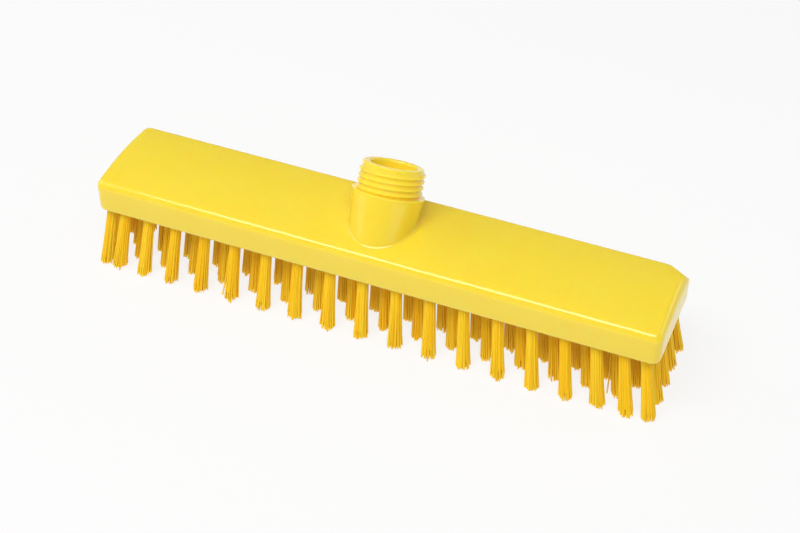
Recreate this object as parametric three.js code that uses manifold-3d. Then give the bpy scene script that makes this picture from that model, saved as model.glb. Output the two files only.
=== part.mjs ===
// A floor scrub brush head in millimetres, +Z up: a moulded block with a leaning hollow neck that
// carries an outside thread, tufts of coarse bristle in staggered rows with a column of tufts across
// each end, and the hidden metal anchors that hold the folded tufts in the block.
// The origin is on the plane of the bristle tips, under the middle of the block.
import * as THREE from "three";
import { mergeVertices } from "three/addons/utils/BufferGeometryUtils.js";
import Module from "manifold-3d";

const wasm = await Module();
wasm.setup();

// Block
const BLOCK_LENGTH = 300;
const BLOCK_WIDTH = 54.3;
const SIDE_HEIGHT = 17.8; // where the crowned top would meet the side walls
const CROWN = 2.5; // rise of the top between the side walls
const TOP_ROUND = 4.4;
const FOOT_ROUND = 2.2; // lower edges
const CORNER_RADIUS = 4.7; // upright corners, seen from above
const BEVEL_ALONG_BACK = 13.8; // the one bevelled corner, at the back on the right
const BEVEL_ALONG_END = 8.3;
const BEVEL_DOWN = 8.3;

// Neck, measured along its own leaning axis from the crown of the block
const NECK_LEAN = THREE.MathUtils.degToRad(30); // towards the back
const NECK_FOOT_Y = -1.4; // where the axis meets the top of the block
const COLLAR_LENGTH = 15.4;
const COLLAR_FOOT_DIAMETER = 33.2; // at the block
const COLLAR_DIAMETER = 36; // under the lip
const COLLAR_LIP = 0.3; // how far the lip round the collar's shoulder stands out
const COLLAR_LIP_WIDTH = 1.1;
const FILLET = 1.4; // where the collar grows out of the block
const THREADED_LENGTH = 14.1;
const THREAD_CORE_DIAMETER = 30.6;
const THREAD_HEIGHT = 1.2;
const THREAD_PITCH = 3;
const THREAD_TURNS = 4.13;
const THREAD_CREST_WIDTH = 0.5;
const THREAD_ROOT_WIDTH = 2.7;
const THREAD_EMBED = 1; // how deep the ridge is rooted in the core
const THREAD_START = 0.25; // height of its lower end above the shoulder
const THREAD_START_ANGLE = THREE.MathUtils.degToRad(-200);
const THREAD_RUN_OUT = 0.12; // turns over which each end fades into the core
const RIM_CHAMFER = 0.8;
const BORE_DIAMETER = 23.4;
const BORE_DEPTH = 26;
const BORE_MOUTH = 0.8; // chamfer round the mouth of the bore

// Bristles
const BRISTLE_LENGTH = 37; // below the block
const TUFT_ROWS = 6;
const TUFT_COLUMNS = 17; // tufts in a row that is even from its edge; the odd rows stand halfway between
const END_TUFTS = 5; // tufts in a column across each end
const TUFT_INSET = 5.7; // from the block's long faces to the outer rows
const END_INSET = 6.7; // from its ends to the end columns, on average
const ENDS_OFF = -1; // how far the middle between the end columns stands off the block's own
const END_GAP = 9.4; // from an end column to the last tuft of an even row, on average
const ROWS_OFF = -2; // how far the middle of the rows stands off the block's own
const COLUMN_CROWDING = 0.06; // how much closer the columns stand towards the ends
const CROWDING_POWER = 5; // how late that sets in
const SIDE_SPLAY = 5; // how far the tips of the outer rows stand outside their roots
const END_SPLAY = 6.1; // the same for the end columns
const END_DRAW_IN = 1.2; // how much nearer the middle an end column starts than the outer rows
const TUFT_DIAMETER = 5.2;
const TIP_DIAMETER = 7; // each tuft opens a little towards its tip
const STRANDS = 4; // in a tuft
const STRAND_SIDES = 4;
const STRAND_DIAMETER = 2.4; // across the corners
const SECTIONS = 4; // count of the pieces that carry the tufts
const SECTION_THICKNESS = 4;
const ROOT_MARGIN = 0.6; // underside left outside the outermost tufts
const STRAND_ROOT = 1; // how deep a strand is rooted in its section

// Anchors
const ANCHOR_WIDTH = 4.2;
const ANCHOR_HEIGHT = 5;
const ANCHOR_THICKNESS = 0.6;
const ANCHOR_LINK = 1.2; // height of the strip that joins the anchors of one column

const CLEARANCE = 0.3;
const OVERLAP = 0.5; // how far joined or cutting shapes reach into each other
const ARC_STEPS = 3; // half the facets of a drawn arc
const ROUND_STEPS = 40; // facets round the neck
const THREAD_STEPS = 26; // facets in a turn of the thread
const FILLET_STEPS = 4;
const FOOT_TRIES = 12; // steps of the search for the collar's foot

// Levels and places that follow from the sizes
const UNDERSIDE = BRISTLE_LENGTH;
const CROWN_TOP = UNDERSIDE + SIDE_HEIGHT + CROWN;
const CEILING = UNDERSIDE + SECTION_THICKNESS + CLEARANCE; // of the recess over the sections
const RECESS_WALL = TUFT_INSET - TUFT_DIAMETER / 2 - ROOT_MARGIN;
const OUTER_ROW = BLOCK_WIDTH / 2 - TUFT_INSET;
const END_COLUMN = BLOCK_LENGTH / 2 - END_INSET;
const LAST_COLUMN = END_COLUMN - END_GAP;
const HALF_COLUMNS = (TUFT_COLUMNS - 1) / 2;
const NECK_LENGTH = COLLAR_LENGTH + THREADED_LENGTH;
const COLLAR_TAPER_END = COLLAR_LENGTH - COLLAR_LIP_WIDTH - COLLAR_LIP;
const CROWN_RADIUS = (BLOCK_WIDTH ** 2 / 4 + CROWN ** 2) / (2 * CROWN);
const CROWN_CENTRE = CROWN_TOP - CROWN_RADIUS;
const EDGE_Y = BLOCK_WIDTH / 2 - TOP_ROUND; // centre line of the rounded upper edges
const EDGE_Z = CROWN_CENTRE + Math.sqrt((CROWN_RADIUS - TOP_ROUND) ** 2 - EDGE_Y ** 2);
const EDGE_TANGENT = Math.atan2(EDGE_Z - CROWN_CENTRE, EDGE_Y); // where the crown runs into them

const YELLOW_PLASTIC = new THREE.MeshStandardMaterial({ color: 0xf6d63c, roughness: 0.28, metalness: 0 });
const YELLOW_BRISTLE = new THREE.MeshStandardMaterial({ color: 0xf0bf22, roughness: 0.5, metalness: 0 });
const BRIGHT_STEEL = new THREE.MeshStandardMaterial({ color: 0xb9bdc2, roughness: 0.35, metalness: 1 });

// A closed geometry as a solid that can be joined and cut.
function solid(geometry) {
  const bare = new THREE.BufferGeometry();
  bare.setAttribute("position", geometry.getAttribute("position"));
  bare.setIndex(geometry.index);
  const merged = mergeVertices(bare, 1e-4);
  const vertProperties = new Float32Array(merged.attributes.position.array);
  const triVerts = new Uint32Array(merged.index.array);
  return new wasm.Manifold(new wasm.Mesh({ numProp: 3, vertProperties, triVerts }));
}

// A solid as a named mesh.
function part(name, body, material) {
  const { vertProperties, triVerts } = body.getMesh();
  const geometry = new THREE.BufferGeometry();
  geometry.setAttribute("position", new THREE.BufferAttribute(vertProperties, 3));
  geometry.setIndex(new THREE.BufferAttribute(triVerts, 1));
  geometry.computeVertexNormals();
  const mesh = new THREE.Mesh(geometry, material);
  mesh.name = name;
  return mesh;
}

// A box between two corners.
function box(low, high) {
  const size = high.clone().sub(low);
  const geometry = new THREE.BoxGeometry(size.x, size.y, size.z);
  geometry.translate((low.x + high.x) / 2, (low.y + high.y) / 2, (low.z + high.z) / 2);
  return solid(geometry);
}

// Rings of points with the same count, skinned into one closed solid with a fanned face at each end.
function loft(rings) {
  const count = rings[0].length;
  const points = rings.flat();
  const index = [];
  for (let r = 0; r + 1 < rings.length; r++) {
    for (let i = 0; i < count; i++) {
      const a = r * count + i;
      const b = r * count + ((i + 1) % count);
      index.push(a, b, b + count, a, b + count, a + count);
    }
  }
  for (const [ring, turn] of [[rings[0], -1], [rings[rings.length - 1], 1]]) {
    const first = ring === rings[0] ? 0 : points.length - count;
    for (let i = 1; i + 1 < count; i++) {
      index.push(first, first + (turn > 0 ? i : i + 1), first + (turn > 0 ? i + 1 : i));
    }
  }
  const geometry = new THREE.BufferGeometry().setFromPoints(points);
  geometry.setIndex(index);
  return solid(geometry);
}

// A flat outline drawn on two axes and pushed along the third.
function prism(shape, depth, across, up, along, start) {
  const options = { depth, bevelEnabled: false, curveSegments: ARC_STEPS };
  const geometry = new THREE.ExtrudeGeometry(shape, options);
  geometry.applyMatrix4(new THREE.Matrix4().makeBasis(across, up, along));
  geometry.translate(start.x, start.y, start.z);
  return solid(geometry);
}

const AXIS_X = new THREE.Vector3(1, 0, 0);
const AXIS_Y = new THREE.Vector3(0, 1, 0);
const AXIS_Z = new THREE.Vector3(0, 0, 1);
const AXIS_BACKWARDS = new THREE.Vector3(0, -1, 0);
const NECK_TURN = new THREE.Matrix4().makeRotationX(Math.PI / 2 - NECK_LEAN);
const NECK_PLACE = new THREE.Matrix4().makeTranslation(0, NECK_FOOT_Y, CROWN_TOP).multiply(NECK_TURN);

// The height of the top at a place across the block, on the crown or on a rounded edge.
function topAt(y) {
  const crownEnd = CROWN_RADIUS * Math.cos(EDGE_TANGENT);
  if (Math.abs(y) < crownEnd) return CROWN_CENTRE + Math.sqrt(CROWN_RADIUS ** 2 - y ** 2);
  const out = Math.min(Math.abs(y) - EDGE_Y, TOP_ROUND);
  return EDGE_Z + Math.sqrt(TOP_ROUND ** 2 - out ** 2);
}

// The block's section across its width: walls, rounded edges and the crown as one arc.
function crossSection() {
  const half = BLOCK_WIDTH / 2;
  const shape = new THREE.Shape();
  shape.absarc(half - FOOT_ROUND, UNDERSIDE + FOOT_ROUND, FOOT_ROUND, -Math.PI / 2, 0);
  shape.absarc(EDGE_Y, EDGE_Z, TOP_ROUND, 0, EDGE_TANGENT);
  shape.absarc(0, CROWN_CENTRE, CROWN_RADIUS, EDGE_TANGENT, Math.PI - EDGE_TANGENT);
  shape.absarc(-EDGE_Y, EDGE_Z, TOP_ROUND, Math.PI - EDGE_TANGENT, Math.PI);
  shape.absarc(FOOT_ROUND - half, UNDERSIDE + FOOT_ROUND, FOOT_ROUND, Math.PI, Math.PI * 1.5);
  return shape;
}

// A rectangle with one radius at its lower and one at its upper corners.
function roundedRectangle(halfWidth, low, high, lowRadius, highRadius) {
  const shape = new THREE.Shape();
  shape.absarc(halfWidth - lowRadius, low + lowRadius, lowRadius, -Math.PI / 2, 0);
  shape.absarc(halfWidth - highRadius, high - highRadius, highRadius, 0, Math.PI / 2);
  shape.absarc(highRadius - halfWidth, high - highRadius, highRadius, Math.PI / 2, Math.PI);
  shape.absarc(lowRadius - halfWidth, low + lowRadius, lowRadius, Math.PI, Math.PI * 1.5);
  return shape;
}

// What the bevel takes off the top of the right rear corner.
function cornerBevel() {
  const corner = new THREE.Vector3(BLOCK_LENGTH / 2, BLOCK_WIDTH / 2, UNDERSIDE + SIDE_HEIGHT);
  const cuts = [
    corner.clone().addScaledVector(AXIS_X, -BEVEL_ALONG_BACK),
    corner.clone().addScaledVector(AXIS_Y, -BEVEL_ALONG_END),
    corner.clone().addScaledVector(AXIS_Z, -BEVEL_DOWN),
  ];
  const middle = new THREE.Vector3();
  cuts.forEach((cut) => middle.addScaledVector(cut, 1 / cuts.length));
  const reach = 4; // well past the block's faces
  const wide = cuts.map((cut) => cut.clone().sub(middle).multiplyScalar(reach).add(middle));
  const apex = corner.clone().sub(middle).multiplyScalar(reach).add(middle);
  const geometry = new THREE.BufferGeometry().setFromPoints([...wide, apex]);
  geometry.setIndex([0, 2, 1, 0, 1, 3, 1, 2, 3, 2, 0, 3]);
  return solid(geometry);
}

// The bare block: its three outlines crossed with each other, less the bevelled corner.
function blockBody() {
  const halfLength = BLOCK_LENGTH / 2;
  const halfWidth = BLOCK_WIDTH / 2;
  const leftEnd = new THREE.Vector3(-halfLength, 0, 0);
  const across = prism(crossSection(), BLOCK_LENGTH, AXIS_Y, AXIS_Z, AXIS_X, leftEnd);
  const side = roundedRectangle(halfLength, UNDERSIDE, CROWN_TOP, FOOT_ROUND, TOP_ROUND);
  const backFace = new THREE.Vector3(0, halfWidth, 0);
  const along = prism(side, BLOCK_WIDTH, AXIS_X, AXIS_Z, AXIS_BACKWARDS, backFace);
  const plan = roundedRectangle(halfLength, -halfWidth, halfWidth, CORNER_RADIUS, CORNER_RADIUS);
  const height = CROWN_TOP - UNDERSIDE;
  const above = prism(plan, height, AXIS_X, AXIS_Y, AXIS_Z, new THREE.Vector3(0, 0, UNDERSIDE));
  return across.intersect(along).intersect(above).subtract(cornerBevel());
}

// A solid of revolution on the neck's axis, from radius and height pairs.
function turned(profile) {
  const outline = profile.map(([radius, height]) => new THREE.Vector2(radius, height));
  return solid(onNeck(new THREE.LatheGeometry(outline, ROUND_STEPS)));
}

// Moves a geometry made upright along +Y on to the neck's leaning axis.
function onNeck(geometry) {
  return geometry.applyMatrix4(NECK_PLACE);
}

// The radius of the tapered collar at a height along the axis.
function collarRadius(height) {
  const share = height / COLLAR_TAPER_END;
  return THREE.MathUtils.lerp(COLLAR_FOOT_DIAMETER, COLLAR_DIAMETER, share) / 2;
}

// A point at an angle round the neck's axis, where 0 is to the right and a quarter turn is to the back.
function neckPoint(radius, angle, height) {
  const point = new THREE.Vector3(radius * Math.cos(angle), height, -radius * Math.sin(angle));
  return point.applyMatrix4(NECK_PLACE);
}

// The collar with its lip, and the core of the thread.
function neckBody() {
  const lip = COLLAR_DIAMETER / 2 + COLLAR_LIP;
  const core = THREAD_CORE_DIAMETER / 2;
  const root = -(collarRadius(0) * Math.tan(NECK_LEAN) + FILLET);
  return turned([
    [0, root],
    [collarRadius(root), root],
    [collarRadius(COLLAR_TAPER_END), COLLAR_TAPER_END],
    [lip, COLLAR_LENGTH - COLLAR_LIP_WIDTH],
    [lip, COLLAR_LENGTH],
    [core, COLLAR_LENGTH],
    [core, NECK_LENGTH - RIM_CHAMFER],
    [core - RIM_CHAMFER, NECK_LENGTH],
    [0, NECK_LENGTH],
  ]);
}

// The blind bore down the neck, with its chamfered mouth.
function neckBore() {
  const bore = BORE_DIAMETER / 2;
  return turned([
    [0, NECK_LENGTH - BORE_DEPTH],
    [bore, NECK_LENGTH - BORE_DEPTH],
    [bore, NECK_LENGTH - BORE_MOUTH],
    [bore + BORE_MOUTH + OVERLAP, NECK_LENGTH + OVERLAP],
    [0, NECK_LENGTH + OVERLAP],
  ]);
}

// The ridge of the thread: one section carried up a helix, fading into the core at both ends.
function threadRidge() {
  const core = THREAD_CORE_DIAMETER / 2;
  const steps = Math.round(THREAD_TURNS * THREAD_STEPS);
  const rings = [];
  for (let i = 0; i <= steps; i++) {
    const turn = (i / steps) * THREAD_TURNS;
    const angle = THREAD_START_ANGLE + turn * 2 * Math.PI;
    const height = COLLAR_LENGTH + THREAD_START + turn * THREAD_PITCH;
    const fade = Math.min(1, Math.min(turn, THREAD_TURNS - turn) / THREAD_RUN_OUT);
    const crest = core + THREAD_HEIGHT * fade - OVERLAP * (1 - fade);
    const section = [
      [core - THREAD_EMBED, -THREAD_ROOT_WIDTH / 2],
      [core - THREAD_EMBED, THREAD_ROOT_WIDTH / 2],
      [crest, THREAD_CREST_WIDTH / 2],
      [crest, -THREAD_CREST_WIDTH / 2],
    ];
    rings.push(section.map(([radius, rise]) => neckPoint(radius, angle, height + rise)));
  }
  return loft(rings);
}

// The height along the axis at which the collar's wall meets the top of the block.
function footHeight(angle) {
  let height = 0;
  for (let i = 0; i < FOOT_TRIES; i++) {
    const point = neckPoint(collarRadius(height), angle, height);
    height += (topAt(point.y) - point.z) * Math.cos(NECK_LEAN);
  }
  return height;
}

// The hollow round between the collar and the top of the block, from a ring sunk in the block
// to one sunk in the collar.
function neckFillet() {
  const rings = [];
  for (let j = -1; j <= FILLET_STEPS + 1; j++) {
    const share = THREE.MathUtils.clamp(j / FILLET_STEPS, 0, 1);
    const ring = [];
    for (let i = 0; i < ROUND_STEPS; i++) {
      const angle = (i / ROUND_STEPS) * 2 * Math.PI;
      const height = footHeight(angle);
      const foot = neckPoint(collarRadius(height), angle, height);
      const low = foot.clone();
      low.x += FILLET * Math.cos(angle);
      low.y += FILLET * Math.sin(angle);
      low.z = topAt(low.y);
      const high = neckPoint(collarRadius(height + FILLET), angle, height + FILLET);
      if (j < 0) low.z -= FILLET;
      if (j > FILLET_STEPS) high.copy(neckPoint(collarRadius(height) - OVERLAP, angle, height + FILLET));
      ring.push(new THREE.QuadraticBezierCurve3(low, foot, high).getPoint(share));
    }
    rings.push(ring);
  }
  return loft(rings);
}

// Where the columns stand along the block: even in the middle, closer towards the ends.
function columnX(place) {
  const share = place / HALF_COLUMNS;
  const crowding = COLUMN_CROWDING * (share - share ** CROWDING_POWER);
  return ROWS_OFF + LAST_COLUMN * (share + crowding);
}

// The rows across the block, from the front to the back, between an outer row and its like at the back.
function rowY(row, rows, outer) {
  return outer * ((2 * row) / (rows - 1) - 1);
}

// How many rows lie between a row and the nearer long edge, because the back half mirrors the front.
function rowFromEdge(row) {
  return Math.min(row, TUFT_ROWS - 1 - row);
}

// Every column of tufts that shares one strip of anchors, from left to right: even and odd rows take turns.
function tuftColumns() {
  const columns = [];
  const endRows = [...Array(END_TUFTS).keys()].map((row) => rowY(row, END_TUFTS, OUTER_ROW - END_DRAW_IN));
  columns.push({ name: "end_left", place: -HALF_COLUMNS, x: ENDS_OFF - END_COLUMN, rows: endRows });
  for (let turn = 0; turn < 2 * TUFT_COLUMNS - 1; turn++) {
    const place = turn / 2 - HALF_COLUMNS;
    const chosen = [...Array(TUFT_ROWS).keys()].filter((row) => rowFromEdge(row) % 2 === turn % 2);
    const rows = chosen.map((row) => rowY(row, TUFT_ROWS, OUTER_ROW));
    columns.push({ name: String(turn + 1).padStart(2, "0"), place, x: columnX(place), rows });
  }
  columns.push({ name: "end_right", place: HALF_COLUMNS, x: ENDS_OFF + END_COLUMN, rows: endRows });
  return columns;
}

// One strand from its root to its tip, which is trimmed level on the plane of the tips.
function strand(root, tip, facing) {
  const ring = (centre, z) =>
    [...Array(STRAND_SIDES).keys()].map((side) => {
      const angle = facing + (side / STRAND_SIDES) * 2 * Math.PI;
      const radius = STRAND_DIAMETER / 2;
      return new THREE.Vector3(centre.x + radius * Math.cos(angle), centre.y + radius * Math.sin(angle), z);
    });
  return loft([ring(tip, 0), ring(root, UNDERSIDE + STRAND_ROOT)]);
}

// The strands of one tuft, standing in a ring that opens towards the tips.
function tuft(x, y) {
  const tipX = x * (1 + END_SPLAY / END_COLUMN);
  const tipY = y * (1 + SIDE_SPLAY / OUTER_ROW);
  return [...Array(STRANDS).keys()].map((number) => {
    const facing = ((number + 0.5) / STRANDS) * 2 * Math.PI;
    const away = new THREE.Vector2(Math.cos(facing), Math.sin(facing));
    const root = new THREE.Vector2(x, y).addScaledVector(away, (TUFT_DIAMETER - STRAND_DIAMETER) / 2);
    const tip = new THREE.Vector2(tipX, tipY).addScaledVector(away, (TIP_DIAMETER - STRAND_DIAMETER) / 2);
    return strand(root, tip, facing);
  });
}

// The border between two sections, midway between a column of even rows and the odd one before it.
function borderX(column) {
  return columnX(column - 0.25 - HALF_COLUMNS);
}

// One length of the underside with its tufts, from one column up to another.
function bristleSection(columns, first, last) {
  const recessEnd = BLOCK_LENGTH / 2 - RECESS_WALL;
  const low = first === 0 ? CLEARANCE - recessEnd : borderX(first) + CLEARANCE / 2;
  const high = last === TUFT_COLUMNS ? recessEnd - CLEARANCE : borderX(last) - CLEARANCE / 2;
  const halfWidth = BLOCK_WIDTH / 2 - RECESS_WALL - CLEARANCE;
  let body = box(
    new THREE.Vector3(low, -halfWidth, UNDERSIDE),
    new THREE.Vector3(high, halfWidth, UNDERSIDE + SECTION_THICKNESS),
  );
  for (const column of columns) {
    const number = column.place + HALF_COLUMNS;
    if (number < first || number >= last) continue;
    for (const y of column.rows) {
      for (const one of tuft(column.x, y)) body = body.add(one);
    }
  }
  return body;
}

// The anchors of one column: a flat plate over each tuft, joined by a strip along their upper edges.
function anchorStrip(column) {
  const shape = new THREE.Shape();
  const half = ANCHOR_WIDTH / 2;
  const top = CEILING + ANCHOR_HEIGHT;
  const first = column.rows[0] - half;
  const last = column.rows[column.rows.length - 1] + half;
  shape.moveTo(last, top);
  shape.lineTo(first, top);
  column.rows.forEach((y, i) => {
    if (i > 0) shape.lineTo(y - half, top - ANCHOR_LINK);
    shape.lineTo(y - half, CEILING);
    shape.lineTo(y + half, CEILING);
    if (i + 1 < column.rows.length) shape.lineTo(y + half, top - ANCHOR_LINK);
  });
  shape.closePath();
  const start = new THREE.Vector3(column.x - ANCHOR_THICKNESS / 2, 0, 0);
  return prism(shape, ANCHOR_THICKNESS, AXIS_Y, AXIS_Z, AXIS_X, start);
}

// The slot in the block that holds one strip of anchors.
function anchorSlot(column) {
  const halfThickness = ANCHOR_THICKNESS / 2 + CLEARANCE;
  const margin = ANCHOR_WIDTH / 2 + CLEARANCE;
  return box(
    new THREE.Vector3(column.x - halfThickness, column.rows[0] - margin, CEILING - OVERLAP),
    new THREE.Vector3(
      column.x + halfThickness,
      column.rows[column.rows.length - 1] + margin,
      CEILING + ANCHOR_HEIGHT + CLEARANCE,
    ),
  );
}

// The whole moulding, with the recess for the sections and the slots for the anchors.
function brushBlock(columns) {
  const recess = box(
    new THREE.Vector3(RECESS_WALL - BLOCK_LENGTH / 2, RECESS_WALL - BLOCK_WIDTH / 2, 0),
    new THREE.Vector3(BLOCK_LENGTH / 2 - RECESS_WALL, BLOCK_WIDTH / 2 - RECESS_WALL, CEILING),
  );
  let body = blockBody().add(neckFillet()).add(neckBody()).add(threadRidge());
  body = body.subtract(neckBore()).subtract(recess);
  for (const column of columns) body = body.subtract(anchorSlot(column));
  return body;
}

const columns = tuftColumns();
const brush = new THREE.Group();
brush.add(part("brush_block", brushBlock(columns), YELLOW_PLASTIC));
for (let section = 0; section < SECTIONS; section++) {
  const first = Math.round((TUFT_COLUMNS * section) / SECTIONS);
  const last = Math.round((TUFT_COLUMNS * (section + 1)) / SECTIONS);
  const body = bristleSection(columns, first, last);
  brush.add(part(`bristle_section_${section + 1}`, body, YELLOW_BRISTLE));
}
for (const column of columns) {
  brush.add(part(`tuft_anchors_${column.name}`, anchorStrip(column), BRIGHT_STEEL));
}

export default brush;
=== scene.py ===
"""A floor scrub brush head in a plain studio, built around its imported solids.

Sizes are in millimetres until a mesh is made, because Blender's own unit here is the metre.
"""

import logging
import math
from dataclasses import dataclass, field
from enum import Enum
from typing import Any, Iterable, Sequence

import bmesh
import bpy
import numpy as np
from mathutils import Matrix, Vector
from mathutils.geometry import delaunay_2d_cdt


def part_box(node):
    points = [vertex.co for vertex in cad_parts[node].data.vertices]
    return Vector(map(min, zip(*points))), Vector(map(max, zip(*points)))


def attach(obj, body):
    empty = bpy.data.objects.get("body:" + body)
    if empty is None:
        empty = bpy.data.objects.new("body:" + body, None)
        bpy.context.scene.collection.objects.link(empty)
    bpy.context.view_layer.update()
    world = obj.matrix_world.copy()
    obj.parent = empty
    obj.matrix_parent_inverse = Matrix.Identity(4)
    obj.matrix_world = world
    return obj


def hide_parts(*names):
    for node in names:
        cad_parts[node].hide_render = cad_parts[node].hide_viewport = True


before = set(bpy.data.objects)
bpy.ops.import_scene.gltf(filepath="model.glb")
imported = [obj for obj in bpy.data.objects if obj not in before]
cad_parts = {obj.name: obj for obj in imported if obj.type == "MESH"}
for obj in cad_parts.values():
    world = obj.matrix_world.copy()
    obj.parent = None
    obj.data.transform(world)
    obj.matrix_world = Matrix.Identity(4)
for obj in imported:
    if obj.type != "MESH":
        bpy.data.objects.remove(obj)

LOG = logging.getLogger("scrub_brush")
MM = 0.001
BODY = "root"
GOLDEN_ANGLE = math.pi * (3 - math.sqrt(5))
SHARP_EDGE = math.radians(38)
TOLERANCE = 1e-6
FACES_BETWEEN_BORDERS = 2


class Slot(Enum):
    """The record's material slots."""

    BLOCK = "block_plastic"
    BRISTLE = "bristle"
    ANCHOR = "anchor_steel"


def linear(code: str) -> tuple[float, float, float, float]:
    """Turn an sRGB hex colour into linear light.

    Args:
        code: Six hex digits, with or without a leading #.

    Returns:
        Red, green, blue and an alpha of 1.
    """
    shares = [int(code.lstrip("#")[i : i + 2], 16) / 255 for i in (0, 2, 4)]
    light = [s / 12.92 if s <= 0.04045 else ((s + 0.055) / 1.055) ** 2.4 for s in shares]
    return (light[0], light[1], light[2], 1.0)


def per_metre(size_mm: float) -> float:
    """A texture's scale for features of a size in millimetres, on Object coordinates."""
    return 1 / (size_mm * MM)


def add_node(
    tree: bpy.types.NodeTree,
    kind: str,
    inputs: dict[str | int, Any] | None = None,
    **settings: Any,
) -> bpy.types.Node:
    """Add one node, set it up and link what feeds it.

    Args:
        tree: The tree that gets the node.
        kind: Blender's name for the node's type.
        inputs: Values or output sockets, by the input's name or number.
        **settings: The node's own properties.

    Returns:
        The new node.
    """
    node = tree.nodes.new(kind)
    for name, value in settings.items():
        setattr(node, name, value)
    for key, value in (inputs or {}).items():
        if isinstance(value, bpy.types.NodeSocket):
            tree.links.new(value, node.inputs[key])
        else:
            node.inputs[key].default_value = value
    return node


def new_material(name: str) -> tuple[bpy.types.Material, bpy.types.NodeTree, bpy.types.NodeSocket]:
    """Start a material with nothing but its output.

    Args:
        name: The material's name.

    Returns:
        The material, its tree and the output's surface socket.
    """
    material = bpy.data.materials.new(name)
    material.use_nodes = True
    tree = material.node_tree
    tree.nodes.clear()
    output = add_node(tree, "ShaderNodeOutputMaterial")
    return material, tree, output.inputs["Surface"]


@dataclass(frozen=True)
class MouldedPolypropylene:
    """Injection-moulded polypropylene, dyed through.

    It gives the eye a strong even yellow under a soft gloss, a faint mottling where the melt
    cooled unevenly, and a very shallow ripple that breaks up the edges of reflections.
    """

    name: str = "moulded_yellow_polypropylene"
    colour: str = "fbd92f"
    pale_colour: str = "fcdf45"
    ior: float = 1.57
    roughness: tuple[float, float] = (0.15, 0.21)
    mottling_mm: float = 26.0
    mottling_detail: float = 3.0
    mottling_roughness: float = 0.55
    translucence: float = 0.6
    depths: tuple[float, float, float] = (1.0, 0.6, 0.1)
    depth_mm: float = 5.0
    ripple_mm: float = 5.0
    ripple_detail: float = 1.0
    ripple_depth_mm: float = 0.012
    ripple_strength: float = 0.5
    grain_mm: float = 0.7
    grain_detail: float = 2.0

    def material(self) -> bpy.types.Material:
        """Build the material.

        Returns:
            The new material.
        """
        material, tree, surface = new_material(self.name)
        place = add_node(tree, "ShaderNodeTexCoord").outputs["Object"]
        mottling = add_node(
            tree,
            "ShaderNodeTexNoise",
            {
                "Vector": place,
                "Scale": per_metre(self.mottling_mm),
                "Detail": self.mottling_detail,
                "Roughness": self.mottling_roughness,
            },
        )
        colour = add_node(
            tree,
            "ShaderNodeMix",
            {0: mottling.outputs["Fac"], 6: linear(self.colour), 7: linear(self.pale_colour)},
            data_type="RGBA",
        )
        grain = add_node(
            tree,
            "ShaderNodeTexNoise",
            {"Vector": place, "Scale": per_metre(self.grain_mm), "Detail": self.grain_detail},
        )
        gloss = add_node(
            tree,
            "ShaderNodeMapRange",
            {"Value": grain.outputs["Fac"], 3: self.roughness[0], 4: self.roughness[1]},
        )
        ripple = add_node(
            tree,
            "ShaderNodeTexNoise",
            {"Vector": place, "Scale": per_metre(self.ripple_mm), "Detail": self.ripple_detail},
        )
        bump = add_node(
            tree,
            "ShaderNodeBump",
            {
                "Strength": self.ripple_strength,
                "Distance": self.ripple_depth_mm * MM,
                "Height": ripple.outputs["Fac"],
            },
        )
        shader = add_node(
            tree,
            "ShaderNodeBsdfPrincipled",
            {
                "Base Color": colour.outputs[2],
                "Roughness": gloss.outputs["Result"],
                "Normal": bump.outputs["Normal"],
                "IOR": self.ior,
                "Subsurface Weight": self.translucence,
                "Subsurface Radius": self.depths,
                "Subsurface Scale": self.depth_mm * MM,
            },
        )
        tree.links.new(shader.outputs["BSDF"], surface)
        return material


@dataclass(frozen=True)
class PolyesterBristle:
    """Extruded polyester filament, dyed through and cut.

    It gives the eye a deeper yellow than the block, fine long lights along each filament, small
    differences from one filament to the next, and a dark heart in each tuft that is painted shade
    for the depth between the filaments. Scuffed filaments hardly shine, so the IOR is below that
    of clean polyester.
    """

    name: str = "extruded_yellow_polyester"
    shade_attribute: str = "filament_tone_and_painted_shade"
    # The dark colour also paints each tuft's heart: painted shade for the depth between the filaments
    dark_and_painted_shade_colour: str = "ffc80a"
    light_colour: str = "ffdd32"
    ior: float = 1.25
    roughness: tuple[float, float] = (0.32, 0.46)
    scuff_mm: float = 1.5
    scuff_detail: float = 2.0

    def material(self) -> bpy.types.Material:
        """Build the material.

        Returns:
            The new material.
        """
        material, tree, surface = new_material(self.name)
        place = add_node(tree, "ShaderNodeTexCoord").outputs["Object"]
        shade = add_node(tree, "ShaderNodeAttribute", attribute_name=self.shade_attribute)
        # Random tone from one filament to the next; the heart sits at the dark end as painted shade
        colour = add_node(
            tree,
            "ShaderNodeMix",
            {0: shade.outputs["Fac"], 6: linear(self.dark_and_painted_shade_colour), 7: linear(self.light_colour)},
            data_type="RGBA",
        )
        scuff = add_node(
            tree,
            "ShaderNodeTexNoise",
            {"Vector": place, "Scale": per_metre(self.scuff_mm), "Detail": self.scuff_detail},
        )
        gloss = add_node(
            tree,
            "ShaderNodeMapRange",
            {"Value": scuff.outputs["Fac"], 3: self.roughness[0], 4: self.roughness[1]},
        )
        shader = add_node(
            tree,
            "ShaderNodeBsdfPrincipled",
            {"Base Color": colour.outputs[2], "Roughness": gloss.outputs["Result"], "IOR": self.ior},
        )
        tree.links.new(shader.outputs["BSDF"], surface)
        return material


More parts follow.
